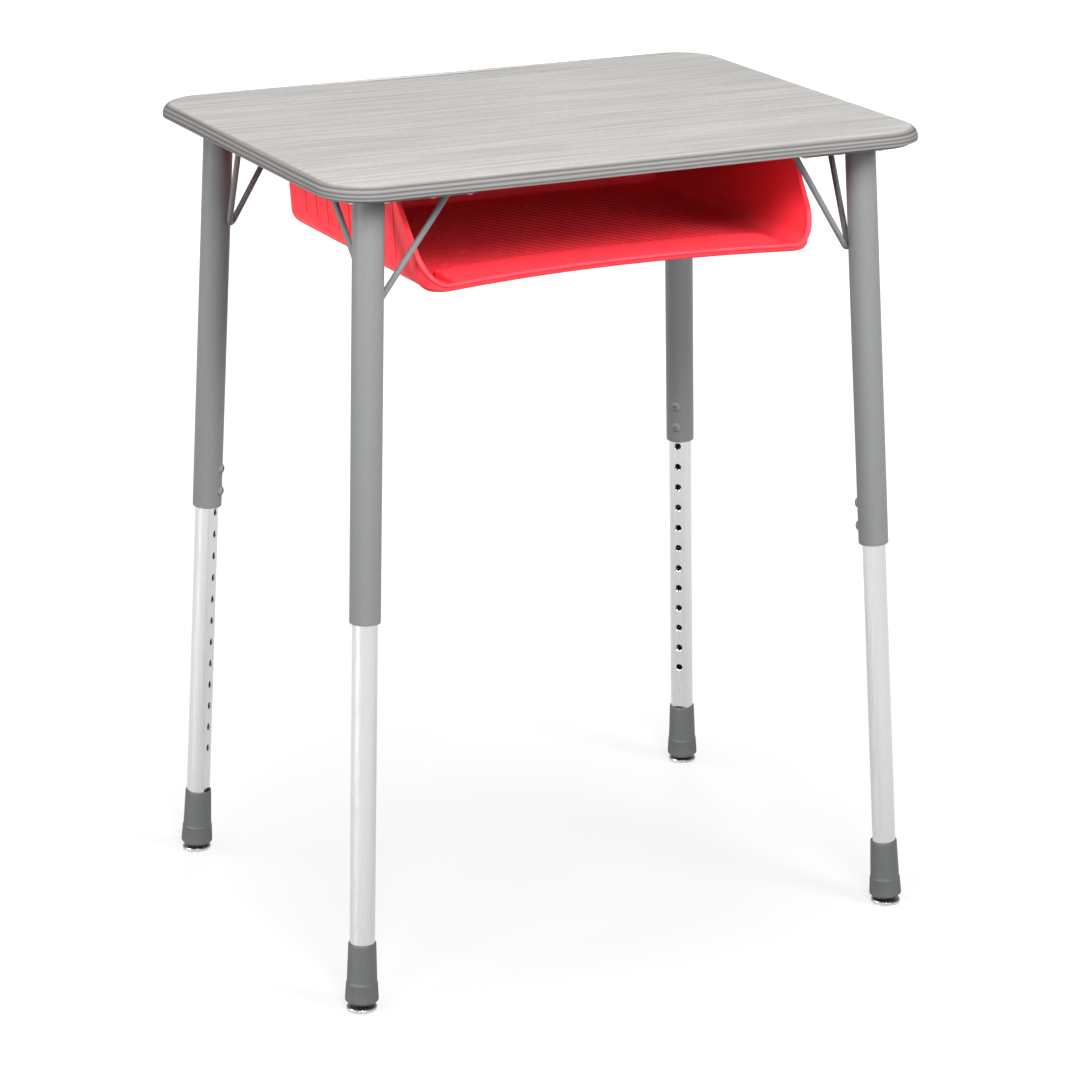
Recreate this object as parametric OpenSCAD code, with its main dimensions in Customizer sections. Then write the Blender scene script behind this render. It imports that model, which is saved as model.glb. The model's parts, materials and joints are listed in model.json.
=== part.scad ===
// Height-adjustable study desk: hard plastic top, moulded book box and four splayed telescopic legs.
// Millimetres. The origin is on the floor below the middle of the top, +Z up.
// The front, where the book box opens, faces -Y.

/* [Top] */
// Width of the top, left to right
top_w = 666; // [600:2:760]
// Depth of the top, front to back
top_d = 514; // [480:2:600]
// Thickness of the top
top_t = 14; // [13:0.5:30]
// Radius of the top's corners in plan
top_corner_r = 54; // [40:1:80]
// Radius that rounds the upper edge
top_edge_r = 11; // [4:0.5:11.5]
// Height of the top's underside above the floor, legs fully extended
under_z = 846; // [830:1:900]

/* [Pencil groove] */
// Length of the pencil groove
groove_len = 316; // [100:2:400]
// Width of the groove at the surface, in the middle
groove_w = 12; // [6:0.2:14]
// Depth of the groove in the middle
groove_deep = 2.5; // [1:0.1:4]
// How far the groove drifts back on its way out to the ends
groove_drift = 5; // [1:0.5:6]
// Distance from the back edge to the middle of the groove
groove_inset = 21; // [18:1:40]

/* [Book box] */
// Distance from the side of the top to the box's side wall
box_side_inset = 106; // [104:1:140]
// Distance from the back of the top to the box's back wall
box_back_inset = 98; // [97:1:140]
// Distance from the front of the top to the foremost point of the box
box_front_inset = 39.5; // [34:0.5:60]
// Depth of the box below the top
box_h = 110; // [90:1:150]
// Thickness of the box's walls and floor
box_wall = 3; // [2:0.1:4]
// Slope of the walls from upright, in degrees
box_draft = 4; // [0:0.5:6]
// Radius of the front corners in plan
box_front_r = 31.5; // [26:0.5:44]
// Radius of the back corners in plan
box_back_r = 28; // [20:1:40]
// Radius between the side walls and the floor, outside
box_floor_r = 15; // [8:0.5:20]
// Radius between the front wall and the floor, outside
box_nose_r = 2.6; // [1.5:0.1:5]
// How far the front edge bows inward in the middle
box_bow = 23; // [4:1:30]
// Height of the front lip above the box's underside
box_lip_h = 9.4; // [7:0.2:20]
// Distance from the top's front edge to where the side walls start to fall
box_scoop_inset = 115.4; // [110:0.2:180]
// How far the rolled rim stands out
box_rim_out = 2.3; // [1:0.1:4]
// Height of the rolled rim
box_rim_h = 3.2; // [1.5:0.1:4]
// Width of the flange that is screwed to the top
box_flange_w = 14; // [12:0.5:18]
// Width of the raised ledge behind the front lip, in the middle
ledge_w = 65; // [40:1:110]
// Distance from the box's side wall to the end of the ledge
ledge_end = 41; // [36:1:80]
// Radius of the ledge's rear corners in plan
ledge_r = 12; // [4:1:20]
// Distance between the upright grooves on the side walls
flute_pitch = 28.8; // [18:0.1:40]
// Width of each upright groove
flute_w = 2.4; // [1:0.1:4]
// Depth of each upright groove
flute_deep = 1; // [0.5:0.1:1.5]

/* [Legs] */
// Distance from the edges of the top to the leg's axis, at the underside
leg_inset = 58; // [50:1:61]
// Outward splay of each leg along its diagonal, in degrees
leg_tilt = 3.55; // [0:0.05:5]
// Outer diameter of the outer tube
outer_dia = 31.75; // [30:0.25:36]
// Wall of the outer tube
outer_wall = 2.1; // [1.2:0.1:2.3]
// Radial clearance between the outer tube and the insert
slide_gap = 0.8; // [0.4:0.1:1]
// Wall of the insert tube
insert_wall = 1.65; // [1.2:0.05:2.4]
// Depth of the flat along the insert, from its round outline
flat_deep = 2.75; // [1.5:0.05:4]
// Distance between height holes
hole_pitch = 25.4; // [20:0.2:26]
// Number of height holes
hole_count = 14; // [6:1:14]
// Diameter of each height hole
hole_dia = 6.9; // [5:0.1:9]
// Distance from the floor to the lowest hole, along the leg
hole_start = 125.5; // [100:0.5:130]
// Distance from the top hole to the insert's upper end
insert_margin = 20; // [12:1:30]
// Distance from the lower adjusting screw to the end of the outer tube
collar_margin = 18.4; // [10:0.2:24]

/* [Braces] */
// Diameter of the brace rod
rod_dia = 6.35; // [5:0.05:8]
// Radius of the rod's bend, to its centre line
rod_bend_r = 7; // [5:0.5:12]
// Height of the brace below the top, to the point where the two arms would meet
brace_drop = 123; // [90:1:160]
// Reach of each arm along the edge, from the leg's axis
brace_reach = 88; // [70:1:90]
// How far each arm turns out towards the edge
brace_turn = 9.5; // [0:0.5:16]

/* [Mounting plates] */
// Thickness of the steel plates
plate_t = 3.2; // [2:0.1:5]
// Distance from the edge of the top to the plate
plate_inset = 7; // [4:0.5:12]
// Reach of the plate's arms, from the leg's axis
plate_reach = 101; // [98:1:104]
// How far the plate passes the leg's axis on the inner side
plate_lap = 20; // [18:0.5:24]
// Distance from the leg's axis to the outer row of screws
screw_row = 41.6; // [36:0.2:43]
// Distance along the row to the middle screw
screw_mid = 49; // [40:1:60]
// Distance along the row to the end screw
screw_end = 88; // [80:1:92]
// Distance from the leg's axis to the corner screw, along X and along Y
screw_corner = 31; // [27:0.5:32]

/* [Fasteners] */
// Diameter of the wood screws' shanks
screw_dia = 4.6; // [3:0.1:5.5]
// Length of thread in the top
screw_bite = 9; // [6:0.5:11]
// Diameter of the plate screws' heads
plate_head_dia = 11; // [8:0.2:12]
// Height of the plate screws' heads
plate_head_h = 3; // [2:0.1:4]
// Diameter of the box screws' heads
box_head_dia = 9; // [7:0.2:11]
// Height of the box screws' heads
box_head_h = 2.4; // [1.5:0.1:3.5]
// Diameter of the adjusting screws' heads
adjust_head_dia = 11.4; // [9:0.2:13]
// Height of the adjusting screws' heads
adjust_head_h = 3; // [2:0.1:4]
// Width of the hexagon socket, across flats
adjust_socket = 4.8; // [3:0.1:5.5]

/* [Feet] */
// Height of the boot's lower end above the floor, along the leg
boot_start = 8.7; // [8.5:0.1:10]
// Height of the boot's upper end above the floor, along the leg
boot_end = 73.6; // [60:0.2:85]
// Wall of the boot at its upper end
boot_lip = 1.4; // [1:0.1:2.4]
// Height of the fluted band's upper edge, along the leg
boot_step = 31; // [26:0.5:40]
// Largest radius of the boot
boot_r = 17.35; // [17:0.05:19]
// Number of flutes round the boot
boot_flutes = 56; // [16:2:60]
// Radius of the glide
glide_r = 15.65; // [13:0.05:17]
// Height of the glide's ball above the floor
glide_pivot_h = 4.6; // [4.5:0.05:4.8]
// Radius of the glide's ball
ball_r = 3.5; // [3:0.05:3.6]
// Radius of the stud that holds the ball
stud_r = 3; // [2.5:0.1:3.4]
// Thickness of the glide's steel cup
cup_wall = 1.1; // [0.8:0.05:1.3]

/* [Hidden] */
$fn = 64;
eps = 0.01;
// Clearances
ball_gap = 0.05;
thread_gap = 0.05;
tip_gap = 0.3;
// Corners: mirrored in X, mirrored in Y
FRONT_LEFT = [0, 0];
FRONT_RIGHT = [1, 0];
REAR_LEFT = [0, 1];
REAR_RIGHT = [1, 1];

// Legs, worked out for the front left corner
diagonal = 45;
lean = tan(leg_tilt) * cos(diagonal);
leg_top_x = top_w / 2 - leg_inset;
leg_top_y = top_d / 2 - leg_inset;
foot_x = leg_top_x + under_z * lean;
foot_y = leg_top_y + under_z * lean;
plate_z = under_z - plate_t;
leg_far = under_z / cos(leg_tilt) + outer_dia;
outer_r = outer_dia / 2;
bore_r = outer_r - outer_wall;
insert_r = bore_r - slide_gap;
flat_x = insert_r - flat_deep;
hole_end = hole_start + (hole_count - 1) * hole_pitch;
insert_start = boot_start + 11.3;
insert_end = hole_end + insert_margin;
collar = hole_end - hole_pitch - collar_margin;
tube_chamfer = 0.6;
hole_flare = 0.9;
ADJUST_AT = [hole_end - hole_pitch, hole_end];

// Brace arms, for the front left corner
weld_bite = 0.5;
rod_sides = 16;
bend_steps = 6;
brace_z = under_z - brace_drop;
brace_out = (outer_r - weld_bite) * cos(diagonal);
brace_v = [-foot_x + brace_z * lean + brace_out, -foot_y + brace_z * lean + brace_out, brace_z];
brace_x_end = [-leg_top_x + brace_reach, -leg_top_y - brace_turn, under_z];
brace_y_end = [-leg_top_x - brace_turn, -leg_top_y + brace_reach, under_z];
arm_x = unit(brace_x_end - brace_v);
arm_y = unit(brace_y_end - brace_v);
arm_mid = unit(arm_x + arm_y);
arm_side = unit(arm_y - arm_x);
arm_up = cross(arm_mid, arm_side);
arm_half = acos(arm_x * arm_mid);
arm_start = rod_bend_r / tan(arm_half);
arm_len = norm(brace_x_end - brace_v) + rod_dia;

// Screws through the plates, from the leg's axis
PLATE_SCREWS = [[-screw_corner, -screw_corner],
                [0, -screw_row], [screw_mid, -screw_row], [screw_end, -screw_row],
                [-screw_row, 0], [-screw_row, screw_mid], [-screw_row, screw_end]];

// Book box
box_x = top_w / 2 - box_side_inset;
box_back = top_d / 2 - box_back_inset;
box_front = top_d / 2 - box_front_inset;
box_z = under_z - box_h;
floor_z = box_z + box_wall;
lip_z = box_z + box_lip_h;
scoop_y = -(top_d / 2 - box_scoop_inset);
scoop_power = 0.81;
front_cx = box_x - box_front_r;
front_cy = -box_front + box_front_r;
back_cx = box_x - box_back_r;
back_cy = box_back - box_back_r;
bow_angle = 2 * atan(box_bow / front_cx);
bow_r = front_cx / sin(bow_angle) - box_front_r;
bow_cy = front_cy - (box_front_r + bow_r) * cos(bow_angle);
corner_steps = 12;
back_steps = 7;
bow_steps = 9;
end_steps = 8;
scoop_steps = 5;
round_steps = 4;
floor_ramp = 50;
flange_ramp = 16;
ledge_drop = 0.8;
ledge_z = lip_z - ledge_drop;
ledge_half = box_x - ledge_end;
ledge_back = -box_front + box_bow + ledge_w;
ledge_sag = 18;
ledge_soft = 2.4;
inner_r_least = 4;
drain_r = 1.3;
drain_x = 118;
drain_back = 25;
flute_count = 9;
flute_first = scoop_y + 1.6;
flute_low = box_z + 21;
flute_high = under_z - 22;
box_screw_y = [scoop_y + 40, (scoop_y + 40 + back_cy) / 2, back_cy];
box_screw_x = back_cx / 2;

function unit(v) = v / norm(v);

// One station of the box's outline, at the height of the underside of the top:
// place, outward direction and height of the rim.
function rim_height(y) =
    let (u = (scoop_y - y) / (box_front + scoop_y))
    u <= 0 ? under_z : under_z - (under_z - lip_z) * pow(min(u, 1), scoop_power);
// The last entry is the inset of the ledge's rear edge, or 0 where there is no ledge.
function station(x, y, nx, ny, top, ledge = 0) = [x, y, nx, ny, top, ledge];
// The ledge's rear edge is a shallow arc with a round corner at each end
function ledge_rear(x) = ledge_back - ledge_sag * (x / ledge_half) * (x / ledge_half);
ledge_cx = ledge_half - ledge_r;
ledge_cy = ledge_rear(ledge_cx) - ledge_r;
// Distance from the bow's centre to that edge, in direction a
function ledge_far(a) =
    let (rear = (ledge_rear((bow_r + ledge_w) * sin(a)) - bow_cy) / cos(a),
         end = ledge_half / max(sin(a), eps),
         along = ledge_cx * sin(a) + (ledge_cy - bow_cy) * cos(a),
         off = norm([ledge_cx, ledge_cy - bow_cy]),
         chord = ledge_r * ledge_r - off * off + along * along)
    rear * sin(a) <= ledge_cx ? rear
    : bow_cy + end * cos(a) <= ledge_cy ? end
    : along + sqrt(max(chord, 0));
ledge_turn = min(asin(ledge_cx / (bow_r + ledge_w)), 0.9 * bow_angle);
BOW = concat([for (i = [0 : bow_steps - 1]) ledge_turn * i / bow_steps],
    [for (i = [0 : end_steps - 1]) ledge_turn + (bow_angle - ledge_turn) * i / end_steps]);
// Right half of the outline, from the middle of the front to the middle of the back
HALF = concat(
    [for (a = BOW)
        station(bow_r * sin(a), bow_cy + bow_r * cos(a), sin(a) * -1, -cos(a), lip_z, ledge_far(a) - bow_r)],
    [for (i = [0 : corner_steps])
        let (a = -90 - bow_angle + (90 + bow_angle) * i / corner_steps,
             y = front_cy + box_front_r * sin(a))
        station(front_cx + box_front_r * cos(a), y, cos(a), sin(a), a < -90 ? lip_z : rim_height(y))],
    [for (i = [1 : scoop_steps])
        let (y = front_cy + (scoop_y - front_cy) * i / scoop_steps)
        station(box_x, y, 1, 0, rim_height(y))],
    [station(box_x, scoop_y + flange_ramp / 2, 1, 0, under_z),
     station(box_x, scoop_y + flange_ramp, 1, 0, under_z)],
    [for (i = [0 : back_steps])
        let (a = 90 * i / back_steps)
        station(back_cx + box_back_r * cos(a), back_cy + box_back_r * sin(a), cos(a), sin(a), under_z)],
    [station(0, box_back, 0, 1, under_z)]);
LOOP = concat(HALF, [for (i = [len(HALF) - 2 : -1 : 1])
    station(-HALF[i][0], HALF[i][1], -HALF[i][2], HALF[i][3], HALF[i][4], HALF[i][5])]);

function smooth(u) = let (v = min(max(u, 0), 1)) v * v * (3 - 2 * v);
// How far the rim or flange stands out from the wall at a station
function rim_out(s) = s[4] < under_z ? box_rim_out
    : box_rim_out + (box_flange_w - box_rim_out) * smooth((s[1] - scoop_y) / flange_ramp);
// Inset of the outer wall at a height, with the slope and the rounding at the floor
function wall_inset(z) = (under_z - z) * tan(box_draft);
function round_inset(h, r) = h >= r ? 0 : r - sqrt(r * r - (r - h) * (r - h));
function outer_inset(z, r) = wall_inset(z) + round_inset(z - box_z, r);
function inner_inset(z, r) = wall_inset(z) + box_wall + round_inset(z - floor_z, r);
// The floor's radius at a station: small at the nose, full at the sides
function floor_r(s) = box_nose_r + (box_floor_r - box_nose_r) * smooth((s[4] - lip_z) / floor_ramp);
// Where the profile leaves the floor on the inside: a fillet, or the ledge's rear wall with its round edge
function rise(s, in_r, r) =
    let (base = inner_inset(ledge_z, r), soft = min(ledge_soft, (s[5] - base) / 3))
    s[5] > base + 1
    ? concat([[s[5], floor_z]],
        [for (i = [0 : round_steps - 1])
            let (a = 90 * i / (round_steps - 1))
            [s[5] - soft * (1 - cos(a)), ledge_z - soft * (1 - sin(a))]],
        [[base, ledge_z]])
    : concat([for (i = [0 : round_steps])
            let (z = floor_z + in_r * (1 - cos(90 * i / round_steps)))
            [inner_inset(z, r), z]],
        [[inner_inset(s[4] - 1, r), s[4] - 1]]);
// Profile at a station: inner floor edge, up the inside, over the rim, down the outside.
// Each entry is [inset, height].
function profile(s) =
    let (top = s[4], out = rim_out(s), r = floor_r(s), inner_r = max(r - box_wall, inner_r_least),
         in_span = top - 1 - floor_z, in_r = min(inner_r, 0.8 * in_span),
         low = top - box_rim_h, out_span = low - box_z, out_r = min(r, 0.8 * out_span))
    concat(
        rise(s, in_r, inner_r),
        [[inner_inset(top - 0.2, inner_r) - 0.8, top],
         [wall_inset(top) - out + 0.6, top],
         [wall_inset(top) - out, top - 0.8],
         [wall_inset(low) - out, low],
         [outer_inset(low, r), low]],
        [for (i = [round_steps : -1 : 0])
            let (z = box_z + out_r * (1 - cos(90 * i / round_steps)))
            [outer_inset(z, r), z]]);
function place(s, p) = [s[0] - s[2] * p[0], s[1] - s[3] * p[0], p[1]];

module corner(c) {
    mirror([c[0], 0, 0]) mirror([0, c[1], 0]) children();
}

// Frame of the front left leg: Z runs up the leg's axis, +X points inward
module leg_axis() {
    translate([-foot_x, -foot_y, 0]) rotate([0, leg_tilt, diagonal]) children();
}

module above(z) {
    translate([-top_w, -top_d, z]) cube([2 * top_w, 2 * top_d, 2 * outer_dia + top_t]);
}

// Top
module edge_profile() {
    flat = top_t - top_edge_r;
    square([top_corner_r - top_edge_r, top_t]);
    square([top_corner_r, flat]);
    intersection() {
        translate([top_corner_r - top_edge_r, flat]) circle(top_edge_r);
        translate([top_corner_r - top_edge_r - eps, flat - eps]) square(top_edge_r + 2 * eps);
    }
}

module top_corner(c) {
    corner(c)
        translate([-(top_w / 2 - top_corner_r), -(top_d / 2 - top_corner_r), under_z])
            rotate([0, 0, 180]) rotate_extrude(angle = 90) edge_profile();
}

module top_side(length, reach) {
    translate([0, -(reach - top_corner_r), under_z]) rotate([0, 0, -90])
        translate([0, length / 2, 0]) rotate([90, 0, 0])
            linear_extrude(height = length) edge_profile();
}

module top_blank() {
    for (c = [FRONT_LEFT, FRONT_RIGHT, REAR_LEFT, REAR_RIGHT]) top_corner(c);
    side_w = top_w - 2 * top_corner_r;
    side_d = top_d - 2 * top_corner_r;
    for (turn = [0, 180]) {
        rotate([0, 0, turn]) top_side(side_w, top_d / 2);
        rotate([0, 0, turn + 90]) top_side(side_d, top_w / 2);
    }
    translate([-side_w / 2, -side_d / 2, under_z]) cube([side_w, side_d, top_t]);
}

// The groove is swept by a round cutter on a long, leaning arc
module pencil_groove() {
    cutter = (groove_w * groove_w / 4 + groove_deep * groove_deep) / (2 * groove_deep);
    sag = norm([groove_drift, groove_deep]);
    sweep = (groove_len * groove_len / 4 + sag * sag) / (2 * sag);
    half_turn = 1.5 * asin(groove_len / 2 / sweep);
    translate([0, top_d / 2 - groove_inset, under_z + top_t - groove_deep + cutter])
        rotate([atan(groove_deep / groove_drift), 0, 0]) translate([0, sweep, 0])
            rotate([0, 0, -90 - half_turn]) rotate_extrude(angle = 2 * half_turn)
                translate([sweep, 0]) circle(cutter);
}

module top_holes() {
    for (c = [FRONT_LEFT, FRONT_RIGHT, REAR_LEFT, REAR_RIGHT])
        corner(c) at_plate_screws() cylinder(d = screw_dia, h = screw_bite + thread_gap);
    at_box_screws() cylinder(d = screw_dia, h = screw_bite + thread_gap);
}

module desk_top() {
    color([0.80, 0.79, 0.78]) difference() {
        top_blank();
        pencil_groove();
        top_holes();
    }
}

// Book box
module box_shell() {
    rings = [for (s = LOOP) [for (p = profile(s)) place(s, p)]];
    n = len(LOOP);
    m = len(rings[0]);
    h = len(HALF) - 1;
    // The inner floor is a fan of triangles on each side, from a point beside the ledge's end
    hub = n * m;
    polyhedron(
        points = concat([for (ring = rings) for (p = ring) p],
            [[ledge_half + 1, 0, floor_z], [-ledge_half - 1, 0, floor_z]]),
        faces = concat(
            [for (i = [0 : n - 1]) for (j = [0 : m - 2])
                let (k = (i + 1) % n)
                [i * m + j, k * m + j, i * m + j + 1]],
            [for (i = [0 : n - 1]) for (j = [0 : m - 2])
                let (k = (i + 1) % n)
                [i * m + j + 1, k * m + j, k * m + j + 1]],
            [for (i = [0 : h - 1]) [hub, (i + 1) * m, i * m]],
            [for (i = [h : n - 1]) [hub + 1, ((i + 1) % n) * m, i * m]],
            [[hub, 0, h * m], [hub + 1, h * m, 0]],
            [[for (i = [0 : n - 1]) i * m + m - 1]]));
}

module flutes() {
    length = (flute_high - flute_low) / cos(box_draft);
    for (side = [0, 1]) mirror([side, 0, 0])
        for (i = [0 : flute_count - 1])
            translate([-(box_x - wall_inset(flute_low)), flute_first + i * flute_pitch, flute_low])
                rotate([0, -box_draft, 0])
                    translate([-flute_w, -flute_w / 2, 0]) cube([flute_w + flute_deep, flute_w, length]);
}

module at_box_screws() {
    out = box_rim_out + (box_flange_w - box_rim_out) / 2;
    for (side = [-1, 1]) {
        for (y = box_screw_y) translate([side * (box_x + out), y, under_z]) children();
        translate([side * box_screw_x, box_back + out, under_z]) children();
    }
}

module book_box() {
    color([0.86, 0.12, 0.17]) difference() {
        box_shell();
        flutes();
        at_box_screws() translate([0, 0, -2 * box_rim_h]) cylinder(d = screw_dia, h = 3 * box_rim_h);
        for (side = [-1, 1])
            translate([side * drain_x, -box_front + box_bow + drain_back, box_z - eps])
                cylinder(r = drain_r, h = 2 * box_lip_h);
    }
}

// Legs
module outer_tube() {
    color([0.56, 0.57, 0.57]) difference() {
        leg_axis() rotate_extrude() polygon([
            [bore_r, collar], [outer_r - tube_chamfer, collar], [outer_r, collar + tube_chamfer],
            [outer_r, leg_far], [bore_r, leg_far]]);
        above(plate_z);
        leg_axis() for (s = ADJUST_AT)
            translate([0, 0, s]) rotate([0, 90, 0]) cylinder(d = hole_dia, h = outer_dia);
    }
}

module d_section(r, flat) {
    intersection() {
        circle(r);
        translate([-r, -r]) square([r + flat, 2 * r]);
    }
}

module insert_tube() {
    color([0.86, 0.86, 0.86]) difference() {
        leg_axis() translate([0, 0, insert_start]) linear_extrude(height = insert_end - insert_start)
            difference() {
                d_section(insert_r, flat_x);
                d_section(insert_r - insert_wall, flat_x - insert_wall);
            }
        leg_axis() for (i = [0 : hole_count - 1])
            translate([0, 0, hole_start + i * hole_pitch]) rotate([0, 90, 0]) {
                cylinder(d = hole_dia, h = outer_dia);
                translate([0, 0, flat_x - hole_flare])
                    cylinder(d1 = hole_dia, d2 = hole_dia + 4 * hole_flare, h = 2 * hole_flare);
            }
    }
}

module button_head(d, h) {
    dome = (d * d / 4 + h * h) / (2 * h);
    intersection() {
        translate([0, 0, h - dome]) sphere(dome);
        cylinder(d = d, h = h);
    }
}

module adjust_screws() {
    seat = sqrt(outer_r * outer_r - adjust_head_dia * adjust_head_dia / 4);
    tip = flat_x + tip_gap;
    color([0.60, 0.61, 0.61]) leg_axis() for (s = ADJUST_AT) translate([0, 0, s]) rotate([0, 90, 0])
        difference() {
            union() {
                translate([0, 0, outer_r]) button_head(adjust_head_dia, adjust_head_h);
                translate([0, 0, tip]) cylinder(d = hole_dia - 2 * thread_gap, h = outer_r + eps - tip);
                difference() {
                    translate([0, 0, seat]) cylinder(d = adjust_head_dia, h = outer_r + eps - seat);
                    rotate([0, -90, 0]) cylinder(r = outer_r, h = 2 * adjust_head_dia, center = true);
                }
            }
            translate([0, 0, outer_r + adjust_head_h / 3])
                cylinder(d = adjust_socket / cos(30), h = adjust_head_h, $fn = 6);
        }
}

// Braces and mounting plates
// The rod is swept along two straight arms and the bend between them
module rod() {
    bend = [for (i = [0 : bend_steps]) 90 + arm_half + (180 - 2 * arm_half) * i / bend_steps];
    centre = rod_bend_r / sin(arm_half);
    path = concat(
        [[arm_len * cos(arm_half), arm_len * sin(arm_half), 90 + arm_half]],
        [for (a = bend) [centre + rod_bend_r * cos(a), rod_bend_r * sin(a), a]],
        [[arm_len * cos(arm_half), -arm_len * sin(arm_half), 270 - arm_half]]);
    n = len(path);
    m = rod_sides;
    polyhedron(
        points = [for (p = path) for (j = [0 : m - 1])
            let (c = rod_dia / 2 * cos(360 * j / m), s = rod_dia / 2 * sin(360 * j / m))
            [p[0] + c * cos(p[2]), p[1] + c * sin(p[2]), s]],
        faces = concat(
            [for (i = [0 : n - 2]) for (j = [0 : m - 1])
                let (k = (j + 1) % m)
                [i * m + k, (i + 1) * m + k, (i + 1) * m + j, i * m + j]],
            [[for (j = [m - 1 : -1 : 0]) j]],
            [[for (j = [0 : m - 1]) (n - 1) * m + j]]));
}

module brace() {
    frame = [[arm_mid[0], arm_side[0], arm_up[0], brace_v[0]],
             [arm_mid[1], arm_side[1], arm_up[1], brace_v[1]],
             [arm_mid[2], arm_side[2], arm_up[2], brace_v[2]],
             [0, 0, 0, 1]];
    color([0.56, 0.57, 0.57]) difference() {
        multmatrix(frame) rod();
        above(plate_z);
        leg_axis() cylinder(r = outer_r, h = leg_far);
    }
}

module at_plate_screws() {
    for (p = PLATE_SCREWS)
        translate([-leg_top_x + p[0], -leg_top_y + p[1], under_z]) children();
}

module plate_outline() {
    edge_x = -(top_w / 2 - plate_inset);
    edge_y = -(top_d / 2 - plate_inset);
    r = top_corner_r - plate_inset;
    tip = (leg_inset - plate_inset + plate_lap) / 4;
    end_x = -leg_top_x + plate_reach;
    end_y = -leg_top_y + plate_reach;
    lap_x = -leg_top_x + plate_lap;
    lap_y = -leg_top_y + plate_lap;
    translate([edge_x + r, edge_y + r]) circle(r);
    translate([edge_x + r, edge_y]) square([end_x - tip - edge_x - r, lap_y - edge_y]);
    translate([edge_x, edge_y + r]) square([lap_x - edge_x, end_y - tip - edge_y - r]);
    translate([end_x - tip, edge_y + tip]) square([tip, lap_y - edge_y - 2 * tip]);
    translate([edge_x + tip, end_y - tip]) square([lap_x - edge_x - 2 * tip, tip]);
    for (y = [edge_y + tip, lap_y - tip]) translate([end_x - tip, y]) circle(tip);
    for (x = [edge_x + tip, lap_x - tip]) translate([x, end_y - tip]) circle(tip);
}

module mounting_plate() {
    color([0.56, 0.57, 0.57]) difference() {
        translate([0, 0, plate_z]) linear_extrude(height = plate_t) plate_outline();
        at_plate_screws() translate([0, 0, -2 * plate_t]) cylinder(d = screw_dia, h = 3 * plate_t);
    }
}

module wood_screw(head_d, head_h, grip) {
    translate([0, 0, -grip]) {
        mirror([0, 0, 1]) button_head(head_d, head_h);
        cylinder(d = screw_dia, h = grip + screw_bite);
    }
}

module plate_screws() {
    color([0.84, 0.84, 0.84]) at_plate_screws() wood_screw(plate_head_dia, plate_head_h, plate_t);
}

module box_screws() {
    color([0.84, 0.84, 0.84]) at_box_screws() wood_screw(box_head_dia, box_head_h, box_rim_h);
}

// Feet
module boot() {
    flare = (boot_r - (insert_r + boot_lip + 2)) / (boot_step - boot_start);
    step_r = boot_r - flare * (boot_step - boot_start - 3);
    flute_lean = atan((boot_r - step_r) / (boot_step - boot_start - 3));
    color([0.43, 0.44, 0.44]) difference() {
        leg_axis() rotate_extrude() polygon([
            [0, boot_start], [boot_r - 3.2, boot_start], [boot_r, boot_start + 3],
            [step_r, boot_step], [step_r - 0.8, boot_step + 0.4],
            [insert_r + boot_lip, boot_end - 1.5], [insert_r + 0.3 * boot_lip, boot_end],
            [0, boot_end]]);
        leg_axis() translate([0, 0, insert_start])
            linear_extrude(height = boot_end) d_section(insert_r, flat_x);
        leg_axis() cylinder(r = stud_r, h = insert_start - 1);
        leg_axis() for (i = [0 : boot_flutes - 1]) rotate([0, 0, 360 * i / boot_flutes])
            translate([boot_r + 0.1, 0, boot_start + 3]) rotate([0, -flute_lean, 0])
                cylinder(r = 0.5, h = boot_step - boot_start - 4.5);
    }
}

module glide_stud() {
    color([0.75, 0.75, 0.76]) leg_axis() {
        translate([0, 0, glide_pivot_h / cos(leg_tilt)]) {
            sphere(ball_r);
            cylinder(r = 0.55 * ball_r, h = boot_start + eps - glide_pivot_h / cos(leg_tilt));
        }
        translate([0, 0, boot_start]) cylinder(r = stud_r, h = insert_start - 1 - boot_start);
    }
}

// Frame of the front left glide: its ball's centre, level with the floor
module glide_frame() {
    translate([-foot_x + glide_pivot_h * lean, -foot_y + glide_pivot_h * lean, glide_pivot_h])
        children();
}

cup_top = 2;
cup_edge = 0.4;
mouth_r = 0.83 * ball_r;
module glide_dome(r, lift) {
    rotate_extrude() polygon([
        [0, 1.7 - glide_pivot_h], [r, 1.7 - glide_pivot_h], [r, cup_edge - 0.8 + lift],
        [r - 0.8, cup_edge + lift], [r / 2, cup_top - 0.5 + lift], [mouth_r, cup_top + lift],
        [0, cup_top + lift]]);
}

module ball_space() {
    sphere(ball_r + ball_gap);
    cylinder(r = mouth_r, h = 2 * cup_top);
    translate([0, 0, 1.1]) cylinder(r1 = mouth_r - 0.2, r2 = mouth_r + 1.2, h = 1.4);
}

module glide_cup() {
    color([0.80, 0.80, 0.80]) glide_frame() difference() {
        glide_dome(glide_r, 0);
        translate([0, 0, -eps]) glide_dome(glide_r - cup_wall, -cup_wall);
        translate([0, 0, -2 * cup_wall]) glide_dome(glide_r - cup_wall, -cup_wall);
        ball_space();
    }
}

module glide_pad() {
    color([0.90, 0.90, 0.88]) glide_frame() difference() {
        union() {
            translate([0, 0, -eps]) glide_dome(glide_r - cup_wall, -cup_wall);
            translate([0, 0, -glide_pivot_h]) rotate_extrude() polygon([
                [0, 0], [glide_r - 2, 0], [glide_r - 0.6, 0.8], [glide_r - 0.6, 1.6],
                [glide_r - cup_wall, 1.7], [glide_r - cup_wall, 2], [0, 2]]);
        }
        ball_space();
    }
}

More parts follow.
